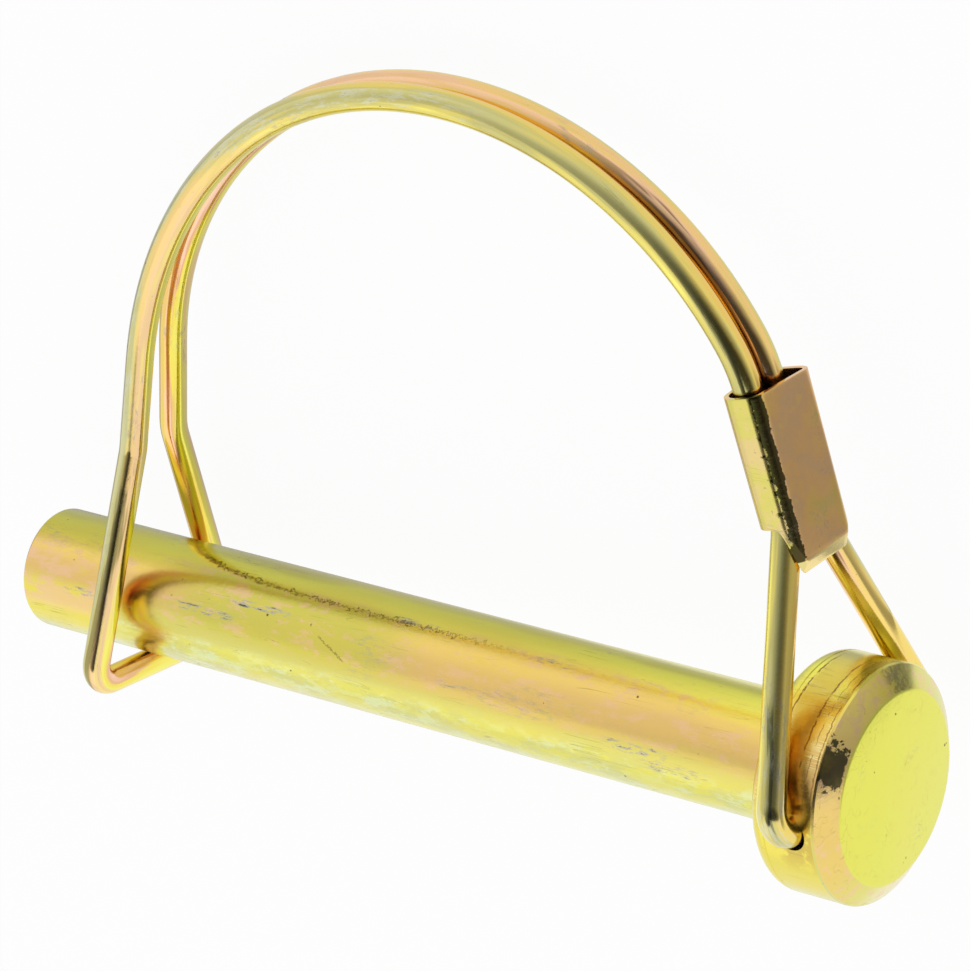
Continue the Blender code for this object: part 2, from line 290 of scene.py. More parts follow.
class LockPinSettings(bpy.types.PropertyGroup):
    pin: PointerProperty(type=PinSizes)
    wire: PointerProperty(type=WireSizes)
    sleeve: PointerProperty(type=SleeveSizes)
    finish: PointerProperty(type=FinishColours)
    stage: PointerProperty(type=StageSettings)


# Modelling by hand

def start_piece(name, add_primitive):
    """Adds a primitive with nothing else selected, and opens it in edit mode."""
    bpy.ops.object.select_all(action="DESELECT")
    add_primitive()
    piece = bpy.context.object
    piece.name = name
    piece.data.name = name
    bpy.ops.object.transform_apply(location=True, rotation=True, scale=True)
    bpy.ops.object.mode_set(mode="EDIT")
    bpy.ops.mesh.select_all(action="SELECT")
    return piece


def pick(piece, mode, test):
    """Selects the vertices, edges or faces whose middle passes the test."""
    bpy.ops.mesh.select_all(action="DESELECT")
    bpy.ops.mesh.select_mode(type=mode)
    bm = bmesh.from_edit_mesh(piece.data)
    items = {"VERT": bm.verts, "EDGE": bm.edges, "FACE": bm.faces}[mode]
    for item in items:
        if mode == "VERT":
            hit = test(item.co)
        elif mode == "EDGE":
            hit = test((item.verts[0].co + item.verts[1].co) / 2)
        else:
            hit = test(item.calc_center_median())
        item.select_set(bool(hit))
    bm.select_flush_mode()
    bmesh.update_edit_mesh(piece.data)


def pull(step):
    bpy.ops.mesh.extrude_region_move(TRANSFORM_OT_translate={"value": tuple(step)})


def swing(centre, axis, angle, steps):
    """Sweeps what is selected round an axis; the spin operator counts its angle backwards."""
    bpy.ops.mesh.spin(steps=steps, angle=-angle, center=tuple(centre), axis=tuple(axis))


def lay_in_frame(piece, material, body, node, smooth=35.0):
    """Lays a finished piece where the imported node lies, and hands it to the frame."""
    bpy.ops.object.mode_set(mode="OBJECT")
    bpy.ops.object.select_all(action="DESELECT")
    piece.select_set(True)
    bpy.context.view_layer.objects.active = piece
    piece.matrix_world = PIN_FRAME
    bpy.ops.object.transform_apply(location=True, rotation=True, scale=True)
    bpy.ops.object.shade_smooth_by_angle(angle=math.radians(smooth))
    piece.data.materials.clear()
    piece.data.materials.append(material)
    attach(piece, body)
    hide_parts(node)


def close_end(inset, depth, outwards):
    """Caps the selected ring and rounds the cap off a little."""
    bpy.ops.mesh.edge_face_add()
    bpy.ops.mesh.inset(thickness=inset, depth=0.0)
    bpy.ops.transform.translate(value=tuple(Vector(outwards) * depth))


# Shader building

class Shading:
    """Short hand for adding nodes to one node tree."""

    def __init__(self, tree):
        self.tree = tree

    def node(self, kind, inputs=None, **settings):
        made = self.tree.nodes.new(kind)
        for key, value in settings.items():
            setattr(made, key, value)
        for key, value in (inputs or {}).items():
            self.feed(made.inputs[key], value)
        return made

    def feed(self, socket, value):
        if isinstance(value, bpy.types.NodeSocket):
            self.tree.links.new(value, socket)
        else:
            socket.default_value = value

    def math(self, operation, a, b=0.0, clamp=False):
        made = self.node("ShaderNodeMath", {0: a, 1: b}, operation=operation, use_clamp=clamp)
        return made.outputs[0]

    def rescale(self, value, low, high, to_low=0.0, to_high=1.0):
        made = self.node("ShaderNodeMapRange", {0: value, 1: low, 2: high, 3: to_low, 4: to_high},
                         interpolation_type="SMOOTHSTEP")
        return made.outputs[0]

    def near(self, value, middle, half, soft):
        """1 where the value is within half of the middle, fading to 0 over soft."""
        off = self.math("ABSOLUTE", self.math("SUBTRACT", value, middle))
        return self.rescale(off, half, half + soft, 1.0, 0.0)

    def both(self, *masks):
        result = masks[0]
        for mask in masks[1:]:
            result = self.math("MULTIPLY", result, mask)
        return result

    def paint(self, shade, paint_colour, weight, *masks):
        """Lays a colour over the shade where all the masks are on."""
        amount = self.both(*masks)
        if weight < 1.0:
            amount = self.math("MULTIPLY", amount, weight)
        return self.blend(amount, shade, rgba(paint_colour))

    def stretch(self, vector, scale, turned=(0, 0, 0)):
        made = self.node("ShaderNodeMapping", {"Vector": vector, "Scale": scale, "Rotation": turned})
        return made.outputs[0]

    def noise(self, vector, scale, detail=2.0, rough=0.5):
        made = self.node("ShaderNodeTexNoise", {"Vector": vector, "Scale": scale,
                                                "Detail": detail, "Roughness": rough})
        return made.outputs[0]

    def blend(self, amount, first, second):
        made = self.node("ShaderNodeMix", data_type="RGBA")
        self.feed(made.inputs[0], amount)
        self.feed(made.inputs[6], first)
        self.feed(made.inputs[7], second)
        return made.outputs[2]

    def ramp(self, value, stops, smooth=True):
        made = self.node("ShaderNodeValToRGB", {0: value})
        band = made.color_ramp
        band.interpolation = "EASE" if smooth else "LINEAR"
        while len(band.elements) < len(stops):
            band.elements.new(0.5)
        for element, (place, shade) in zip(band.elements, stops):
            element.position = place
        for element, (place, shade) in zip(band.elements, stops):
            element.color = rgba(shade)
        return made.outputs[0]


def rgba(shade):
    if isinstance(shade, (int, float)):
        return (shade, shade, shade, 1.0)
    return (*tuple(shade)[:3], 1.0)


def new_material(name):
    material = bpy.data.materials.new(name)
    material.use_nodes = True
    material.node_tree.nodes.clear()
    return material, Shading(material.node_tree)


def wear_group():
    """Node group with the marks that all the plated pieces share.

    Place is where the surface is, in metres, with its X along the drawn direction.
    """
    name = "Plating marks"
    if name in bpy.data.node_groups:
        return bpy.data.node_groups[name]
    tree = bpy.data.node_groups.new(name, "ShaderNodeTree")
    tree.interface.new_socket("Place", in_out="INPUT", socket_type="NodeSocketVector")
    tree.interface.new_socket("Scratching", in_out="INPUT", socket_type="NodeSocketFloat")
    tree.interface.new_socket("Scuffing", in_out="INPUT", socket_type="NodeSocketFloat")
    for label in ("Drift", "Patches", "Mottle", "Scratches", "Scuffs", "Specks", "Height"):
        tree.interface.new_socket(label, in_out="OUTPUT", socket_type="NodeSocketFloat")
    sh = Shading(tree)
    source = sh.node("NodeGroupInput")
    place = source.outputs["Place"]
    drawn = sh.stretch(place, (0.30, 1.0, 1.0))

    drift = sh.rescale(sh.noise(drawn, 150.0, 3.0), 0.30, 0.70, -1.0, 1.0)
    patches = sh.rescale(sh.noise(drawn, 240.0, 4.0, 0.6), 0.42, 0.62)
    mottle = sh.noise(place, 1500.0, 4.0, 0.6)

    wander = sh.noise(place, 500.0, 2.0)
    lines = []
    for scale, lean, width in ((1.0, 0.05, 0.004), (1.6, -0.22, 0.003), (0.7, 0.9, 0.003)):
        along = sh.stretch(place, (0.05 * scale, scale, scale), (lean, lean, lean))
        ridge = sh.math("ABSOLUTE", sh.math("SUBTRACT", sh.noise(along, 900.0, 1.5), 0.5))
        thin = sh.rescale(ridge, 0.0, width, 1.0, 0.0)
        gate = sh.rescale(sh.noise(sh.stretch(place, (0.5, 1.3, 1.3), (lean, 0, 1)), 420.0, 2.0),
                          0.55, 0.66)
        lines.append(sh.math("MULTIPLY", thin, gate))
    scratches = sh.math("MAXIMUM", sh.math("MAXIMUM", lines[0], lines[1]), lines[2])
    scratches = sh.math("MULTIPLY", scratches, source.outputs["Scratching"], clamp=True)

    spread = sh.rescale(sh.noise(drawn, 330.0, 2.0), 0.56, 0.70)
    grit = sh.rescale(sh.noise(sh.stretch(place, (0.25, 1.0, 1.0)), 3600.0, 4.0, 0.75), 0.48, 0.66)
    scuffs = sh.math("MULTIPLY", sh.math("MULTIPLY", spread, grit),
                     source.outputs["Scuffing"], clamp=True)

    cells = sh.node("ShaderNodeTexVoronoi", {"Vector": place, "Scale": 1500.0})
    spot = sh.rescale(cells.outputs["Distance"], 0.10, 0.20, 1.0, 0.0)
    chosen = sh.rescale(sh.noise(place, 700.0, 2.0), 0.66, 0.70)
    specks = sh.math("MULTIPLY", spot, chosen)

    fine = sh.noise(sh.stretch(place, (0.45, 1.0, 1.0)), 3000.0, 4.0, 0.65)
    height = sh.math("ADD", sh.math("MULTIPLY", mottle, 0.5), sh.math("MULTIPLY", fine, 0.5))
    height = sh.math("SUBTRACT", height, sh.math("MULTIPLY", scratches, 0.8))
    height = sh.math("SUBTRACT", height, sh.math("MULTIPLY", specks, 1.5))
    height = sh.math("ADD", height, sh.math("MULTIPLY", wander, 0.6))
    ends = sh.node("NodeGroupOutput")
    for label, value in (("Drift", drift), ("Patches", patches), ("Mottle", mottle),
                         ("Scratches", scratches), ("Scuffs", scuffs), ("Specks", specks),
                         ("Height", height)):
        sh.feed(ends.inputs[label], value)
    return tree


def plated_metal(sh, marks, colour_socket, finish, gloss, bump):
    """Adds the marks to the passivation colour and makes the metal shader."""
    shade = sh.paint(colour_socket, finish.scuff, 0.75, marks["Scuffs"])
    shade = sh.paint(shade, finish.scratch, 0.7, marks["Scratches"])
    shade = sh.paint(shade, finish.speck, 0.8, marks["Specks"])
    rough = sh.math("ADD", gloss, sh.math("MULTIPLY", marks["Scuffs"], 0.20))
    rough = sh.math("ADD", rough, sh.math("MULTIPLY", marks["Mottle"], 0.06))
    rough = sh.math("ADD", rough, sh.math("MULTIPLY", marks["Scratches"], 0.10))
    relief = sh.node("ShaderNodeBump", {"Height": marks["Height"], "Strength": bump,
                                        "Distance": 0.00002})
    metal = sh.node("ShaderNodeBsdfPrincipled", {"Base Color": shade, "Roughness": rough,
                                                 "Normal": relief.outputs[0]})
    metal.inputs["Metallic"].default_value = 1.0
    ends = sh.node("ShaderNodeOutputMaterial")
    sh.feed(ends.inputs["Surface"], metal.outputs[0])


def in_pin_frame(sh):
    """Surface place in the pin's own frame, from Object coordinates."""
    place = sh.node("ShaderNodeTexCoord").outputs["Object"]
    made = sh.node("ShaderNodeMapping", vector_type="TEXTURE")
    sh.feed(made.inputs["Vector"], place)
    made.inputs["Location"].default_value = PIN_FRAME.to_translation()
    made.inputs["Rotation"].default_value = PIN_FRAME.to_euler()
    return made.outputs[0]


def wear(sh, place, scratching, scuffing):
    group = sh.node("ShaderNodeGroup", node_tree=wear_group())
    sh.feed(group.inputs["Place"], place)
    group.inputs["Scratching"].default_value = scratching
    group.inputs["Scuffing"].default_value = scuffing
    return group.outputs


def shank_bloom(sh, place, along, degrees, on_shank, shade):
    """Cloudy flecks of pale green, pink and lemon over the bands of the shank."""
    cloud = sh.noise(sh.stretch(place, (0.45, 1.0, 1.0)), 520.0, 4.0, 0.65)
    fleck = sh.noise(sh.stretch(place, (0.45, 1.0, 1.0), (0.4, 0.2, 0.0)), 1050.0, 4.0, 0.7)
    low = sh.near(degrees, -38.0, 26.0, 16.0)
    shade = sh.paint(shade, MINT, 1.0, sh.rescale(fleck, 0.46, 0.60), low, on_shank,
                     sh.rescale(along, 0.028, 0.046, 0.85, 0.55))
    shade = sh.paint(shade, VIVID_LEMON, 0.55, sh.rescale(cloud, 0.56, 0.44), low, on_shank)
    middle = sh.near(degrees, 40.0, 22.0, 16.0)
    shade = sh.paint(shade, MOSS, 0.90, sh.near(along, 0.0265, 0.0065, 0.0080), middle)
    shade = sh.paint(shade, PINK, 0.60, sh.rescale(fleck, 0.50, 0.64), middle, on_shank)
    shade = sh.paint(shade, DEEP_GOLD, 0.45, sh.rescale(cloud, 0.40, 0.30), middle, on_shank)
    at_tip = sh.near(along, 0.0035, 0.0040, 0.0030)
    shade = sh.paint(shade, TIP_LEMON, 0.85, at_tip, sh.near(degrees, -10.0, 16.0, 18.0))
    return sh.paint(shade, TIP_BLUSH, 0.70, at_tip, sh.near(degrees, 24.0, 24.0, 16.0),
                    sh.rescale(cloud, 0.44, 0.54))


def shank_scuffs(sh, place, along, degrees, shade):
    """Grey rubs at their places on the shank, and a painted reflection: the long ragged dark line
    under its top edge.
    """
    streaks = sh.noise(sh.stretch(place, (0.22, 1.0, 1.0)), 3600.0, 4.0, 0.75)
    rub = sh.rescale(streaks, 0.49, 0.56)
    pit = sh.rescale(streaks, 0.60, 0.64)
    for middle, half, turned, spread, strength in SHANK_RUBS:
        spot = sh.both(sh.near(along, middle, half, half), sh.near(degrees, turned, spread, spread))
        shade = sh.paint(shade, RUBBED_GREY, strength, spot, rub)
        shade = sh.paint(shade, RUBBED_PIT, strength, spot, pit)
    ragged = sh.rescale(sh.noise(place, 2300.0, 4.0, 0.75), 0.30, 0.70, -4.0, 4.0)
    # Painted reflection: the long ragged dark line under the shank's top edge stands in for the
    # bail's dark reflection there.
    fall = sh.math("EXPONENT", sh.math("DIVIDE", sh.math("SUBTRACT", 0.0154, along), 0.0042))
    line = sh.math("ADD", sh.math("MULTIPLY", fall, 21.0), 65.5)
    off_line = sh.math("SUBTRACT", sh.math("SUBTRACT", degrees, line), ragged)
    reach = sh.both(sh.rescale(along, 0.0140, 0.0160), sh.rescale(along, 0.0360, 0.0520, 0.9, 0.0))
    shade = sh.paint(shade, PAINTED_REFLECTION_LINE, 1.0, sh.near(off_line, 0.0, 0.40, 0.90), reach)
    lean = sh.math("MULTIPLY", sh.math("SUBTRACT", along, 0.0300), 6200.0)
    off_cut = sh.math("ADD", sh.math("SUBTRACT", degrees, 31.0), lean)
    off_cut = sh.math("ADD", off_cut, sh.math("MULTIPLY", ragged, 0.4))
    return sh.paint(shade, CUT, 0.75, sh.near(off_cut, 0.0, 0.5, 0.6),
                    sh.near(along, 0.0312, 0.0011, 0.0004))


def head_side(sh, place, along, degrees, on_side, head_x, bevel_x, shade):
    """Draw marks, turned rings, lemon, and painted shade by the hook's hole round the side of the
    head.
    """
    draw = sh.noise(sh.stretch(place, (0.05, 1.0, 1.0)), 8200.0, 3.0, 0.6)
    where = sh.rescale(sh.noise(place, 420.0, 2.0), 0.42, 0.56)
    brushed = sh.both(on_side, sh.near(degrees, 34.0, 34.0, 12.0), where)
    shade = sh.paint(shade, DRAWN_DARK, 1.0, brushed, sh.rescale(draw, 0.57, 0.66, 0.0, 0.60))
    shade = sh.paint(shade, DRAWN_BRIGHT, 1.0, brushed, sh.rescale(draw, 0.47, 0.39, 0.0, 0.85))
    wander = sh.rescale(sh.noise(place, 1500.0, 4.0, 0.7), 0.30, 0.70, -0.00006, 0.00006)
    ringed = sh.math("ADD", along, wander)
    gate = sh.rescale(sh.noise(place, 800.0, 3.0), 0.36, 0.48)
    shade = sh.paint(shade, TAN, 0.50, sh.near(along, head_x + 0.0031, 0.0009, 0.0005),
                     sh.near(degrees, 48.0, 36.0, 20.0))
    for ring_x, half, strength in (
        (head_x + 0.0019, 0.00005, 0.90), (head_x + 0.0041, 0.00005, 0.90),
        (bevel_x - 0.0009, 0.00002, 0.6), (bevel_x - 0.0003, 0.00003, 0.8),
    ):
        shade = sh.paint(shade, RING, strength, sh.near(ringed, ring_x, half, 0.00004),
                         sh.near(degrees, 45.0, 48.0, 12.0), gate)
    shade = sh.paint(shade, HEAD_LEMON, 1.0, on_side, sh.near(degrees, -18.0, 14.0, 30.0))
    # Painted shade: darker brown on the head's side by the hook stands in for the hole's shadow and
    # the hook's dark reflection.
    return sh.paint(shade, PAINTED_SHADE_BY_HOOK, 0.55, on_side, sh.near(degrees, 6.0, 14.0, 18.0),
                    sh.rescale(along, head_x + 0.002, head_x + 0.0035), gate)


def head_marks(sh, place, along, degrees, band, marks, settings, shade):
    """Face, bevel with its painted black reflection, and the marks round the side of the head."""
    face_x = settings.pin.total
    bevel_x = face_x - settings.pin.face_drop
    head_x = face_x - settings.pin.head_thick
    at_face = sh.rescale(along, face_x - 0.00012, face_x - 0.00003)
    on_bevel = sh.both(sh.rescale(along, bevel_x - 0.00008, bevel_x + 0.00008),
                       sh.math("SUBTRACT", 1.0, at_face))
    on_side = sh.both(sh.rescale(along, head_x + 0.0002, head_x + 0.0006),
                      sh.rescale(along, bevel_x - 0.0002, bevel_x - 0.0001, 1.0, 0.0))
    shade = head_side(sh, place, along, degrees, on_side, head_x, bevel_x, shade)

    bevel = sh.ramp(band, BEVEL_BANDS)
    blush = sh.rescale(sh.noise(place, 900.0, 3.0, 0.6), 0.52, 0.64, 0.0, 0.5)
    bevel = sh.paint(bevel, BEVEL_BLUSH, 1.0, blush)
    shade = sh.blend(on_bevel, shade, bevel)
    # Painted reflection: a ragged near-black patch on the bevel stands in for the tent's dark opening
    # mirrored there.
    torn = sh.rescale(sh.noise(place, 1500.0, 5.0, 0.70), 0.32, 0.68, -5.0, 5.0)
    off_patch = sh.math("ABSOLUTE", sh.math("SUBTRACT", degrees, 35.0))
    dark_reflection = sh.rescale(sh.math("ADD", off_patch, torn), 10.2, 11.2, 1.0, 0.0)
    edge_x = sh.math("ADD", along, sh.math("MULTIPLY", torn, 0.000010))
    shade = sh.paint(shade, PAINTED_REFLECTION_BLACK, 0.93, dark_reflection,
                     sh.rescale(edge_x, bevel_x - 0.00010, bevel_x - 0.00004),
                     sh.rescale(edge_x, face_x - 0.00020, face_x - 0.00013, 1.0, 0.0))
    shade = sh.paint(shade, SMUDGE, 0.75, on_bevel, sh.near(degrees, 103.0, 5.0, 7.0),
                     sh.rescale(sh.noise(place, 1900.0, 4.0, 0.7), 0.44, 0.56))

    face = sh.paint(rgba(FACE_LEMON), FACE_GOLD, 0.25, marks["Patches"])
    shade = sh.blend(at_face, shade, face)
    return sh.paint(shade, settings.finish.gold, 1.0, marks["Patches"],
                    sh.rescale(at_face, 0.0, 1.0, 0.18, 0.0))


def pin_finish(settings):
    """Passivation that runs in bands along the pin, as it hung in the bath."""
    finish = settings.finish
    material, sh = new_material("Chromated zinc on the pin")
    place = in_pin_frame(sh)
    marks = wear(sh, place, 0.6, 0.5)
    parts = sh.node("ShaderNodeSeparateXYZ", {0: place}).outputs
    angle = sh.math("DIVIDE", sh.math("ARCTAN2", parts[1], parts[2]), 2 * math.pi)
    band = sh.math("ADD", sh.math("ADD", angle, 0.5), sh.math("MULTIPLY", marks["Drift"], 0.018))
    stops = (
        (0.00, finish.gold), (0.12, finish.lemon), (0.24, finish.peach), (0.33, finish.pale),
        (0.40, (0.68, 0.68, 0.27)), (0.46, (0.69, 0.67, 0.20)), (0.52, (0.73, 0.66, 0.17)),
        (0.555, (0.82, 0.61, 0.18)), (0.575, (0.84, 0.56, 0.20)), (0.61, (0.84, 0.56, 0.20)),
        (0.65, (0.93, 0.66, 0.18)), (0.675, (0.98, 0.77, 0.15)), (0.70, (1.00, 0.90, 0.14)),
        (0.74, (1.00, 0.97, 0.15)), (0.77, (0.80, 0.78, 0.15)), (0.79, (0.68, 0.65, 0.17)),
        (0.86, finish.lemon), (0.93, finish.peach), (1.00, finish.gold),
    )
    banded = sh.ramp(band, stops)
    degrees = sh.math("MULTIPLY", angle, 360.0)
    along = parts[0]
    head_x = settings.pin.total - settings.pin.head_thick
    on_shank = sh.rescale(along, head_x - 0.0002, head_x, 1.0, 0.0)
    shade = shank_bloom(sh, place, along, degrees, on_shank, banded)
    shade = shank_scuffs(sh, place, along, degrees, shade)
    shade = head_marks(sh, place, along, degrees, band, marks, settings, shade)
    plated_metal(sh, marks, shade, finish, 0.18, 0.85)
    return material


def wire_finish(settings):
    """Passivation that follows the drawn wire, from its place on the straight wire."""
    finish = settings.finish
    material, sh = new_material("Chromated zinc on the wire")
    place = sh.node("ShaderNodeAttribute", attribute_name="straight_wire").outputs["Vector"]
    marks = wear(sh, place, 0.5, 0.8)
    parts = sh.node("ShaderNodeSeparateXYZ", {0: place}).outputs
    drawn = sh.stretch(place, (0.06, 1.0, 1.0))
    streak = sh.rescale(sh.noise(drawn, 900.0, 3.0, 0.6), 0.30, 0.70, -0.07, 0.07)
    around = sh.math("DIVIDE", sh.math("ARCTAN2", parts[2], parts[1]), 2 * math.pi)
    around = sh.math("ADD", sh.math("ADD", around, 0.5), streak)
    around = sh.math("ADD", around, sh.math("MULTIPLY", marks["Drift"], 0.05))
    past_crown = sh.rescale(sh.math("ADD", parts[0], sh.math("MULTIPLY", marks["Drift"], 0.004)),
                            0.080, 0.100)
    shade = sh.blend(past_crown, sh.ramp(around, FRONT_WIRE_BANDS), sh.ramp(around, BACK_WIRE_BANDS))
    shade = sh.paint(shade, BROWN, 0.88, sh.near(around, 0.205, 0.030, 0.045),
                     sh.rescale(parts[0], 0.236, 0.252), sh.rescale(parts[0], 0.276, 0.280, 1.0, 0.0))
    shade = sh.paint(shade, DULL, 0.72, sh.near(around, 0.725, 0.030, 0.040),
                     sh.near(parts[0], 0.1365, 0.0095, 0.0010))
    last_leg = sh.rescale(parts[0], 0.276, 0.284)
    shade = sh.paint(shade, LEG_GOLD, 0.80, last_leg)
    shade = sh.paint(shade, LEG_RUST, 0.80, last_leg, sh.near(around, 0.265, 0.022, 0.030))
    rubbed = sh.noise(sh.stretch(place, (0.22, 1.0, 1.0)), 2300.0, 4.0, 0.75)
    # Painted reflection: a dark mottled stripe along the front leg by the head stands in for the
    # tent's dark opening mirrored in the wire.
    shade = sh.paint(shade, PAINTED_LEG_REFLECTION, 0.80, sh.near(around, 0.885, 0.025, 0.035),
                     sh.near(parts[0], 0.0125, 0.0032, 0.0020),
                     sh.rescale(rubbed, 0.66, 0.52, 0.35, 1.0))
    top = sh.both(sh.near(around, 0.85, 0.07, 0.05), sh.near(parts[0], 0.094, 0.020, 0.010))
    hook = sh.near(parts[0], 0.0085, 0.0022, 0.0040)
    handled = sh.math("MAXIMUM", top, hook)
    shade = sh.paint(shade, WORN, 0.55, sh.rescale(rubbed, 0.46, 0.60), handled)
    shade = sh.paint(shade, DIRT, 0.60, sh.rescale(rubbed, 0.62, 0.68), handled)
    plated_metal(sh, marks, shade, finish, 0.12, 0.35)
    return material


def sleeve_finish(settings):
    """Passivation in broad patches over the bent strip, with a painted dark reflection along its
    front corner and a painted highlight on the turned-in lip.
    """
    finish = settings.finish
    material, sh = new_material("Chromated zinc on the sleeve")
    place = in_pin_frame(sh)
    marks = wear(sh, place, 0.4, 0.6)
    parts = sh.node("ShaderNodeSeparateXYZ", {0: place}).outputs
    sizes = settings.sleeve
    cloud = sh.noise(place, 270.0, 4.0, 0.6)
    wide = sh.ramp(cloud, WIDE_SIDE_TINTS)
    broad = sh.noise(place, 170.0, 3.0, 0.55)
    wide = sh.paint(wide, SLEEVE_BLUSH, 1.0, sh.rescale(broad, 0.50, 0.40, 0.0, 0.30))
    wide = sh.paint(wide, SLEEVE_OLIVE, 1.0, sh.rescale(broad, 0.54, 0.64, 0.0, 0.50))
    narrow = sh.ramp(cloud, NARROW_SIDE_TINTS)
    front = settings.wire.radius * 2 + settings.wire.strand_gap / 2 + sizes.gap + sizes.wall
    shade = sh.blend(sh.rescale(parts[2], front - 0.0004, front - 0.0002), wide, narrow)
    lean_cos, lean_sin = math.cos(sizes.angle), math.sin(sizes.angle)
    hinge_to_top = HINGE_X - sizes.back
    torn = sh.rescale(sh.noise(place, 1500.0, 4.0, 0.65), 0.30, 0.70, -0.00012, 0.00012)
    outward = sh.math("SUBTRACT", sh.math("MULTIPLY", parts[0], lean_sin),
                      sh.math("MULTIPLY", parts[1], lean_cos))
    middle = hinge_to_top * lean_sin - sizes.height * lean_cos
    # Painted reflection: a ragged near-black line along the rounded front corner stands in for the
    # dark reflection on its rounding.
    shade = sh.paint(shade, PAINTED_CORNER_REFLECTION, 0.94,
                     sh.near(sh.math("ADD", parts[2], torn), front - 0.00046, 0.00031, 0.00006),
                     sh.rescale(outward, middle, middle + 0.0005))
    down = sh.math("ADD", sh.math("MULTIPLY", parts[0], lean_cos),
                   sh.math("MULTIPLY", parts[1], lean_sin))
    lip_top = hinge_to_top * lean_cos + sizes.height * lean_sin - sizes.length + sizes.lip
    # Painted highlight: the turned-in lip at the end is painted pale gold, standing in for its bright
    # reflection of the lit table.
    shade = sh.paint(shade, PAINTED_LIP_HIGHLIGHT, 1.0,
                     sh.rescale(down, lip_top, lip_top - sizes.lip * 0.1, 0.0, 0.8))
    plated_metal(sh, marks, shade, finish, 0.16, 0.60)
    return material


# Pieces

def pin_steps(sizes):
    """Rings of the turned pin as (place along the pin, radius), from tip to face."""
    edge = sizes.tip_edge
    rings = [(edge * (1 - math.cos(a)), sizes.radius - edge * (1 - math.sin(a)))
             for a in (0.0, 0.4, 0.8, 1.2, math.pi / 2)]
    seat = sizes.total - sizes.head_thick
    rings.append((seat, sizes.radius))
    flat = sizes.head_radius - sizes.back_round
    rings.append((seat, flat))
    for k in range(1, 13):
        arc = math.pi / 2 * k / 12
        rings.append((seat + sizes.back_round * (1 - math.cos(arc)),
                      flat + sizes.back_round * math.sin(arc)))
    line = seat + sizes.back_round
    rings.append((line + 0.00005, sizes.head_radius - sizes.part_line))
    rings.append((line + 0.00012, sizes.head_radius))
    bevel = sizes.total - sizes.face_drop
    rings.append((bevel - 0.00012, sizes.head_radius))
    rings.append((bevel + 0.00006, sizes.head_radius - 0.00009))
    rings.append((sizes.total - 0.00007, sizes.head_radius - sizes.face_inset + 0.00010))
    rings.append((sizes.total, sizes.head_radius - sizes.face_inset - 0.00012))
    return rings


class LOCKPIN_OT_pin(bpy.types.Operator):
    """Turn the headed pin and drill the cross hole through its head"""
    bl_idname = "lock_pin.pin"
    bl_label = "Pin"

    def execute(self, context):
        settings = context.scene.lock_pin
        sizes = settings.pin
        rings = pin_steps(sizes)
        x, radius = rings[0]
        pin = start_piece("pin_turned", lambda: bpy.ops.mesh.primitive_circle_add(
            vertices=128, radius=radius, fill_type="NGON", location=(x, 0, 0),
            rotation=(0, math.pi / 2, 0)))
        bpy.ops.mesh.select_mode(type="EDGE")
        bpy.ops.mesh.delete(type="ONLY_FACE")
        bpy.ops.mesh.select_all(action="SELECT")
        for next_x, next_radius in rings[1:]:
            pull((next_x - x, 0, 0))
            grow = next_radius / radius
            bpy.ops.transform.resize(value=(1, grow, grow), center_override=(next_x, 0, 0))
            x, radius = next_x, next_radius
        bpy.ops.mesh.edge_face_add()
        pick(pin, "EDGE", lambda co: abs(co.x) < 1e-7)
        bpy.ops.mesh.edge_face_add()
        bpy.ops.mesh.select_all(action="SELECT")
        bpy.ops.mesh.normals_make_consistent(inside=False)
        bpy.ops.object.mode_set(mode="OBJECT")

        bore = settings.wire.radius + sizes.hole_gap
        drill = start_piece("drill", lambda: bpy.ops.mesh.primitive_cylinder_add(
            vertices=64, radius=bore, depth=3 * sizes.head_radius,
            location=(HINGE_X - sizes.hole_back, -sizes.hole_drop, 0)))
        bpy.ops.object.mode_set(mode="OBJECT")
        bpy.ops.object.select_all(action="DESELECT")
        pin.select_set(True)
        context.view_layer.objects.active = pin
        hole = pin.modifiers.new("cross_hole", "BOOLEAN")
        hole.operation = "DIFFERENCE"
        hole.solver = "EXACT"
        hole.object = drill
        bpy.ops.object.modifier_apply(modifier=hole.name)
        bpy.data.objects.remove(drill, do_unlink=True)
        if len(pin.data.polygons) < 1000:
            raise RuntimeError("The pin lost its faces when the hole was drilled")
        lay_in_frame(pin, pin_finish(settings), "pin", "pin", smooth=24.0)
        return {"FINISHED"}


def bow_corners(sleeve, wire):
    """Corners of the bow's centre line in the middle plane, with their bend radii."""
    place = Vector((HINGE_X - sleeve.back, sleeve.height, 0.0))
    heading = sleeve.angle
    corners = []
    for radius, degrees in BOW_ARCS:
        sweep = math.radians(degrees)
        reach = radius * math.tan(sweep / 2)
        corner = place + reach * Vector((math.cos(heading), math.sin(heading), 0.0))
        heading += sweep
        place = corner + reach * Vector((math.cos(heading), math.sin(heading), 0.0))
        corners.append((corner, radius))
    kink = place + wire.run * Vector((math.cos(heading), math.sin(heading), 0.0))
    return corners, kink


def loop_corner(side, kink, wire, pin):
    """Corner of the tip loop on one side, where a leg meets the bar under the pin."""
    bar = pin.radius + wire.loop_bar + wire.radius
    shank = pin.radius + wire.loop_side + wire.radius
    spread = (shank - wire.kink_spread) / kink.y
    low = bar / math.cos(wire.loop_twist)
    reach = wire.kink_spread + spread * (kink.y + low)
    z = reach / (1 + side * spread * math.tan(wire.loop_twist))
    y = -low + side * z * math.tan(wire.loop_twist)
    return Vector((wire.loop_x, y, side * z))


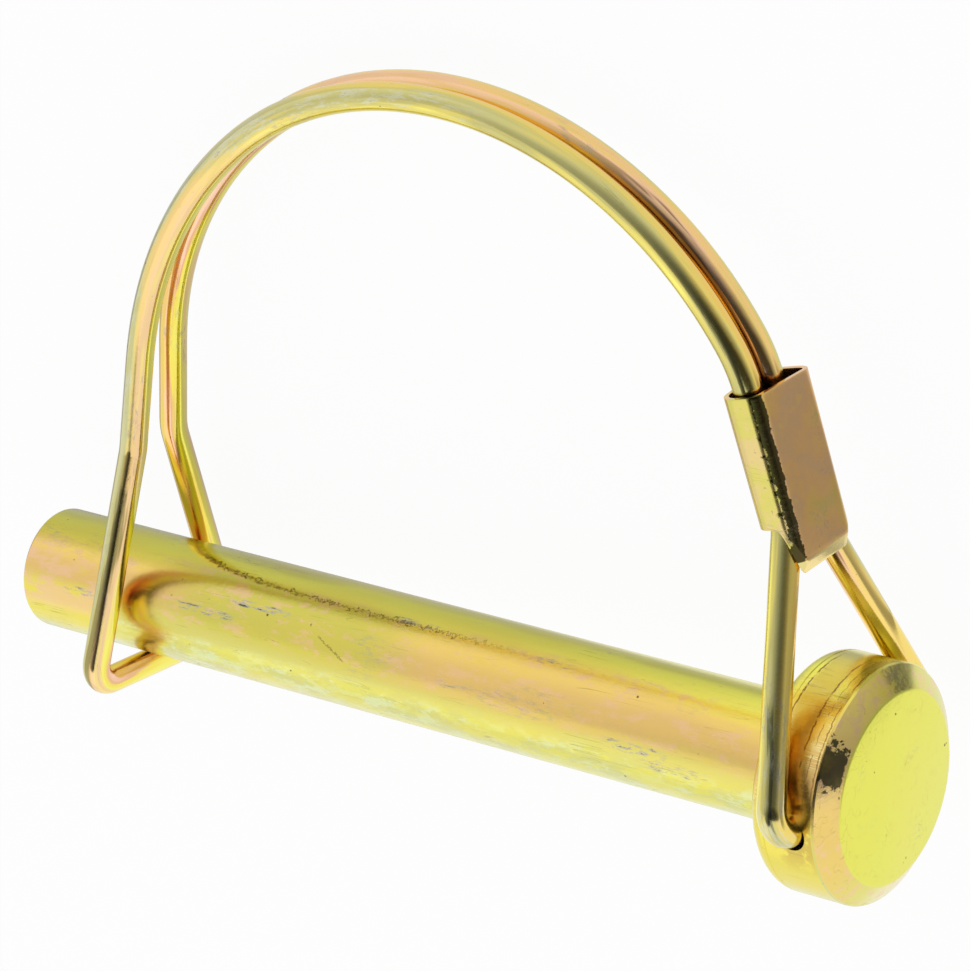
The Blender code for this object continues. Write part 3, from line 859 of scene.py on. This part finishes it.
def half_route(side, settings):
    """Corners and bend radii of one half of the bail, from its hook to the tip loop."""
    wire, sleeve, pin = settings.wire, settings.sleeve, settings.pin
    axis = Vector((math.cos(sleeve.angle), math.sin(sleeve.angle), 0.0))
    offset = side * (wire.radius + wire.strand_gap / 2)
    top = Vector((HINGE_X - sleeve.back, sleeve.height, offset))
    from_end = sleeve.from_front if side > 0 else sleeve.from_back
    clearance = wire.front_leg if side > 0 else wire.back_leg
    hook = wire.front_hook if side > 0 else wire.back_hook
    leg_z = side * (pin.head_radius + clearance + wire.radius)
    route = [
        (Vector((HINGE_X, 0.0, side * wire.end_gap / 2)), 0.0),
        (Vector((HINGE_X, 0.0, leg_z)), hook),
        (top - axis * (sleeve.length - from_end), wire.spread_bend),
    ]
    corners, kink = bow_corners(sleeve, wire)
    for corner, radius in corners:
        route.append((Vector((corner.x, corner.y, offset)), radius))
    kink_radius = wire.front_kink if side > 0 else wire.back_kink
    route.append((Vector((kink.x, kink.y, side * wire.kink_spread)), kink_radius))
    route.append((loop_corner(side, kink, wire, pin), wire.loop_bend))
    return route


def wire_route(settings):
    return half_route(1, settings) + half_route(-1, settings)[::-1]


def bend_at(before, corner, after, radius):
    """Start, centre, axis and angle of the bend that rounds a corner."""
    back = (before - corner).normalized()
    ahead = (after - corner).normalized()
    half = back.angle(ahead) / 2
    centre = corner + (back + ahead).normalized() * radius / math.sin(half)
    start = corner + back * radius / math.tan(half)
    return start, centre, back.cross(ahead).normalized(), math.pi - 2 * half


class LOCKPIN_OT_bail(bpy.types.Operator):
    """Bend the sprung bail from one piece of round wire"""
    bl_idname = "lock_pin.bail"
    bl_label = "Wire bail"

    SIDES = 40

    def execute(self, context):
        settings = context.scene.lock_pin
        wire = settings.wire
        route = wire_route(settings)
        place = route[0][0]
        heading = (route[1][0] - place).normalized()
        facing = heading.to_track_quat("Z", "Y")
        bail = start_piece("bail_wire", lambda: bpy.ops.mesh.primitive_circle_add(
            vertices=self.SIDES, radius=wire.radius, fill_type="NOTHING",
            location=place, rotation=facing.to_euler()))
        bpy.ops.mesh.select_mode(type="EDGE")
        bpy.ops.mesh.select_all(action="SELECT")
        frames = [(place.copy(), heading.copy(), facing @ Vector((1, 0, 0)), 0.0)]

        def note(place, heading, side, along):
            frames.append((place.copy(), heading.copy(), side.copy(), along))

        side = frames[0][2]
        along = 0.0
        for i in range(1, len(route) - 1):
            corner, radius = route[i]
            start, centre, axis, angle = bend_at(route[i - 1][0], corner, route[i + 1][0], radius)
            run = (start - place).length
            if run > 1e-6:
                pull(start - place)
                along += run
                note(start, heading, side, along)
            steps = max(4, math.ceil(math.degrees(angle) / (2.0 if radius > 0.01 else 5.0)))
            swing(centre, axis, -angle, steps)
            for k in range(1, steps + 1):
                part = Matrix.Rotation(-angle * k / steps, 3, axis)
                note(centre + part @ (start - centre), part @ heading, part @ side,
                     along + radius * angle * k / steps)
            place, heading, side = frames[-1][0], frames[-1][1], frames[-1][2]
            along += radius * angle
        end = route[-1][0]
        pull(end - place)
        note(end, heading, side, along + (end - place).length)
        close_end(0.0003, 0.0001, heading)
        first, outwards = frames[0][0], -frames[0][1]
        pick(bail, "EDGE", lambda co: abs((co - first).dot(outwards)) < 1e-7
             and (co - first).length < wire.radius * 1.01)
        close_end(0.0003, 0.0001, outwards)
        bpy.ops.mesh.select_all(action="SELECT")
        bpy.ops.mesh.normals_make_consistent(inside=False)
        bpy.ops.object.mode_set(mode="OBJECT")
        self.mark_straight_wire(bail, frames)
        lay_in_frame(bail, wire_finish(settings), "bail", "wire_bail", smooth=60.0)
        return {"FINISHED"}

    def mark_straight_wire(self, bail, frames):
        """Stores where each point was on the straight wire, before it was bent."""
        points = np.array([v.co for v in bail.data.vertices])
        centres = np.array([f[0] for f in frames])
        sides = np.array([f[2] for f in frames])
        ups = np.array([f[1].cross(f[2]) for f in frames])
        along = np.array([f[3] for f in frames])
        nearest = np.array([np.argmin(((centres - p) ** 2).sum(1)) for p in points])
        arm = points - centres[nearest]
        straight = np.stack([along[nearest], (arm * sides[nearest]).sum(1),
                             (arm * ups[nearest]).sum(1)], axis=1)
        layer = bail.data.attributes.new("straight_wire", "FLOAT_VECTOR", "POINT")
        layer.data.foreach_set("vector", straight.astype(np.float32).ravel())


class LOCKPIN_OT_sleeve(bpy.types.Operator):
    """Bend the crimp sleeve from strip and press it round the strands"""
    bl_idname = "lock_pin.sleeve"
    bl_label = "Crimp sleeve"

    LEVELS = 60

    def execute(self, context):
        settings = context.scene.lock_pin
        sizes = settings.sleeve
        wire = settings.wire
        depth = wire.radius + sizes.gap + sizes.wall
        front = wire.radius + wire.strand_gap / 2 + depth
        back = front + sizes.top_room
        sleeve = start_piece("sleeve_strip", lambda: bpy.ops.mesh.primitive_plane_add(
            size=1.0, rotation=(math.pi / 2, 0, 0)))
        bpy.ops.transform.resize(value=(2 * depth, 1, front + back), center_override=(0, 0, 0))
        centre = (front - back) / 2
        bpy.ops.transform.translate(value=(0, 0, centre))
        pick(sleeve, "VERT", lambda co: co.x < 0)
        bpy.ops.mesh.bevel(offset=sizes.inner_corner, offset_type="OFFSET", segments=10,
                           affect="VERTICES", profile=0.5)
        pick(sleeve, "VERT", lambda co: co.x > depth * 0.99)
        bpy.ops.mesh.bevel(offset=sizes.outer_corner, offset_type="OFFSET", segments=8,
                           affect="VERTICES", profile=0.5)
        bpy.ops.mesh.select_all(action="SELECT")
        bpy.ops.mesh.delete(type="ONLY_FACE")
        pick(sleeve, "EDGE", lambda co: abs(co.z - centre) < 1e-6
             or abs(abs(co.z - centre) - (front + back) / 2) < 1e-6)
        bpy.ops.mesh.subdivide(number_cuts=16)
        bpy.ops.mesh.select_all(action="SELECT")
        for _ in range(self.LEVELS):
            pull((0, -sizes.length / self.LEVELS, 0))
        self.press(sleeve, sizes, depth, front, back)
        bpy.ops.mesh.select_all(action="SELECT")
        bpy.ops.mesh.normals_make_consistent(inside=False)
        bpy.ops.object.mode_set(mode="OBJECT")
        wall = sleeve.modifiers.new("wall", "SOLIDIFY")
        wall.thickness = sizes.wall
        wall.offset = -1.0
        bpy.ops.object.modifier_apply(modifier=wall.name)
        edge = sleeve.modifiers.new("edge", "BEVEL")
        edge.width = 0.00010
        edge.segments = 3
        edge.limit_method = "ANGLE"
        edge.angle_limit = math.radians(50)
        bpy.ops.object.modifier_apply(modifier=edge.name)
        sleeve.data.transform(Matrix.Translation((HINGE_X - sizes.back, sizes.height, 0))
                              @ Matrix.Rotation(sizes.angle - math.pi / 2, 4, "Z"))
        lay_in_frame(sleeve, sleeve_finish(settings), "bail", "crimp_sleeve",
                     smooth=22.0)
        return {"FINISHED"}

    def press(self, sleeve, sizes, depth, front, back):
        """Presses the straight tube to its crimped shape, with the narrow sides cut short."""
        bm = bmesh.from_edit_mesh(sleeve.data)
        for vert in bm.verts:
            x, y, z = vert.co
            down = -y / sizes.length
            outward = max(0.0, x / depth)
            swell = sizes.top_swell + (sizes.end_swell - sizes.top_swell) * down
            behind = max(0.0, -z / back)
            vert.co.z = z - behind * (sizes.end_room - sizes.top_room) * down
            vert.co.x = x + swell * outward * (front - z) / (front + back)
            vert.co.y = y + sizes.notch * (1 - outward ** 3) * down
            tuck = max(0.0, 1 - (sizes.length + y) / sizes.lip) * outward ** 3
            vert.co.x -= sizes.lip_tuck * tuck * (0.80 + 0.20 * (z + back) / (front + back))
        bmesh.update_edit_mesh(sleeve.data)


# Stage

def tent_light(settings):
    """World light of a white tent: one wall lit, the open side dark, seen white by the camera."""
    stage = settings.stage
    world = bpy.data.worlds.new("Light tent")
    bpy.context.scene.world = world
    world.use_nodes = True
    world.node_tree.nodes.clear()
    sh = Shading(world.node_tree)
    way = sh.node("ShaderNodeTexCoord").outputs["Generated"]

    def toward(azimuth, elevation):
        a, e = math.radians(azimuth), math.radians(elevation)
        made = sh.node("ShaderNodeVectorMath", operation="DOT_PRODUCT")
        sh.feed(made.inputs[0], way)
        made.inputs[1].default_value = (math.cos(e) * math.cos(a), math.cos(e) * math.sin(a),
                                        math.sin(e))
        return made.outputs["Value"]

    off_opening = sh.math("DIVIDE", sh.math("ARCCOSINE", toward(*OPENING_WAY)), math.pi)
    dark = stage.dark_side
    wall = sh.ramp(off_opening, ((0.00, dark), (0.17, dark)) + OPENING_TONES, smooth=False)
    off_gap = sh.math("DIVIDE", sh.math("ARCCOSINE", toward(*GAP_WAY)), math.pi)
    gap = sh.ramp(off_gap, ((0.00, dark), (0.075, dark)) + GAP_TONES, smooth=False)
    wall = sh.node("ShaderNodeMix", {0: 1.0, 6: wall, 7: gap}, data_type="RGBA",
                   blend_type="DARKEN").outputs[2]
    side = sh.rescale(toward(*LIT_WALL_WAY), 0.0, 0.03)
    under = sh.rescale(toward(0.0, 90.0), 0.94, 0.97, 1.0, 0.0)
    lit = sh.math("MULTIPLY", side, under)
    light = sh.blend(lit, wall, rgba(stage.bright_side))
    seen = sh.node("ShaderNodeLightPath").outputs["Is Camera Ray"]
    light = sh.blend(seen, light, rgba(1.0))
    glow = sh.node("ShaderNodeBackground", {"Color": light})
    ends = sh.node("ShaderNodeOutputWorld")
    sh.feed(ends.inputs["Surface"], glow.outputs[0])


def table_surface(settings):
    """White table that glows enough to show white and still keeps the pin's shadow."""
    stage = settings.stage
    material, sh = new_material("Light table")
    place = sh.node("ShaderNodeTexCoord").outputs["Object"]
    grain = sh.noise(place, 40.0, 3.0)
    shade = sh.blend(sh.math("MULTIPLY", grain, 0.05), rgba(stage.floor_colour), rgba(0.94))
    matt = sh.node("ShaderNodeBsdfPrincipled", {"Base Color": shade})
    matt.inputs["Roughness"].default_value = 0.9
    matt.inputs["Specular IOR Level"].default_value = 0.1
    rays = sh.node("ShaderNodeLightPath").outputs
    seen = sh.math("MAXIMUM", sh.math("MAXIMUM", rays["Is Camera Ray"], rays["Is Glossy Ray"]),
                   rays["Is Transmission Ray"])
    # Painted shade: glossy and transmission rays see the table's glow darkened round the shade's
    # place and in a painted shadow spot by the sleeve.
    parts = sh.node("ShaderNodeSeparateXYZ", {0: place}).outputs
    ahead = sh.math("SUBTRACT", parts[0], stage.shade_x)
    aside = sh.math("SUBTRACT", parts[1], stage.shade_y)
    turned = sh.math("DIVIDE", sh.math("ARCTAN2", aside, ahead), 2 * math.pi)
    round_head = sh.math("ADD", turned, 0.5)
    painted_shade = sh.ramp(round_head, TABLE_SHADE_TONES, smooth=False)
    away = sh.node("ShaderNodeVectorMath", {0: place, 1: PAINTED_SHADOW_SPOT},
                   operation="DISTANCE").outputs["Value"]
    painted_shade = sh.blend(sh.rescale(away, 0.0065, 0.0125), rgba(PAINTED_SHADOW_TONE), painted_shade)
    tone = sh.blend(rays["Is Camera Ray"], painted_shade, rgba(1.0))
    white = sh.node("ShaderNodeEmission", {"Color": tone, "Strength": 1.0})
    mixed = sh.node("ShaderNodeMixShader", {0: sh.math("MULTIPLY", seen, stage.glow)})
    sh.feed(mixed.inputs[1], matt.outputs[0])
    sh.feed(mixed.inputs[2], white.outputs[0])
    ends = sh.node("ShaderNodeOutputMaterial")
    sh.feed(ends.inputs["Surface"], mixed.outputs[0])
    return material


def add_camera():
    """Camera at the photograph's viewing angle, given in the pin's own frame."""
    data = bpy.data.cameras.new("Camera")
    data.sensor_width = SENSOR_MM
    data.lens = FOCAL_PER_HEIGHT * SENSOR_MM
    data.clip_start = 0.01
    data.clip_end = 10.0
    camera = bpy.data.objects.new("Camera", data)
    bpy.context.scene.collection.objects.link(camera)
    right = Vector(CAMERA_RIGHT).normalized()
    back = Vector(CAMERA_BACK).normalized()
    up = back.cross(right).normalized()
    right = up.cross(back)
    view = Matrix((right, up, back)).transposed()
    shift = Vector(CAMERA_SHIFT) * SHIFT_UNIT
    camera.matrix_world = PIN_FRAME @ Matrix.Translation(view @ -shift) @ view.to_4x4()
    bpy.context.scene.camera = camera


class LOCKPIN_OT_stage(bpy.types.Operator):
    """Lay the light table, light the tent and set the camera"""
    bl_idname = "lock_pin.stage"
    bl_label = "Light table"

    def execute(self, context):
        settings = context.scene.lock_pin
        bpy.ops.object.select_all(action="DESELECT")
        bpy.ops.mesh.primitive_plane_add(size=settings.stage.floor_size,
                                         location=(0, 0, -TABLE_DROP))
        table = context.object
        table.name = "light_table"
        bpy.ops.object.transform_apply(location=True, rotation=True, scale=True)
        table.data.materials.append(table_surface(settings))
        tent_light(settings)
        lamp = bpy.data.lights.new("Soft top light", "AREA")
        lamp.shape = "SQUARE"
        lamp.size = LAMP_SIZE
        lamp.energy = LAMP_POWER
        holder = bpy.data.objects.new("Soft top light", lamp)
        holder.location = LAMP_PLACE
        holder.rotation_euler = (-Vector(LAMP_PLACE)).to_track_quat("-Z", "Y").to_euler()
        context.scene.collection.objects.link(holder)
        context.scene.view_settings.view_transform = "Standard"
        add_camera()
        return {"FINISHED"}


class LOCKPIN_PT_panel(bpy.types.Panel):
    """Sizes, colours and pieces of the wire lock pin"""
    bl_idname = "LOCKPIN_PT_panel"
    bl_label = "Wire Lock Pin"
    bl_space_type = "VIEW_3D"
    bl_region_type = "UI"
    bl_category = "Lock Pin"

    def draw(self, context):
        settings = context.scene.lock_pin
        for label, operator, group in (
            ("Pin", "lock_pin.pin", settings.pin),
            ("Wire bail", "lock_pin.bail", settings.wire),
            ("Crimp sleeve", "lock_pin.sleeve", settings.sleeve),
            ("Light table", "lock_pin.stage", settings.stage),
        ):
            box = self.layout.box()
            box.operator(operator, text=label)
            for name in group.__annotations__:
                box.prop(group, name)
        box = self.layout.box()
        box.label(text="Finish")
        for name in settings.finish.__annotations__:
            box.prop(settings.finish, name)


CLASSES = (PinSizes, WireSizes, SleeveSizes, FinishColours, StageSettings, LockPinSettings,
           LOCKPIN_OT_pin, LOCKPIN_OT_bail, LOCKPIN_OT_sleeve, LOCKPIN_OT_stage,
           LOCKPIN_PT_panel)


def register():
    for item in CLASSES:
        bpy.utils.register_class(item)
    bpy.types.Scene.lock_pin = PointerProperty(type=LockPinSettings)


def unregister():
    del bpy.types.Scene.lock_pin
    for item in reversed(CLASSES):
        bpy.utils.unregister_class(item)


def main():
    register()
    bpy.ops.lock_pin.pin()
    bpy.ops.lock_pin.bail()
    bpy.ops.lock_pin.sleeve()
    bpy.ops.lock_pin.stage()


if __name__ == "__main__":
    main()
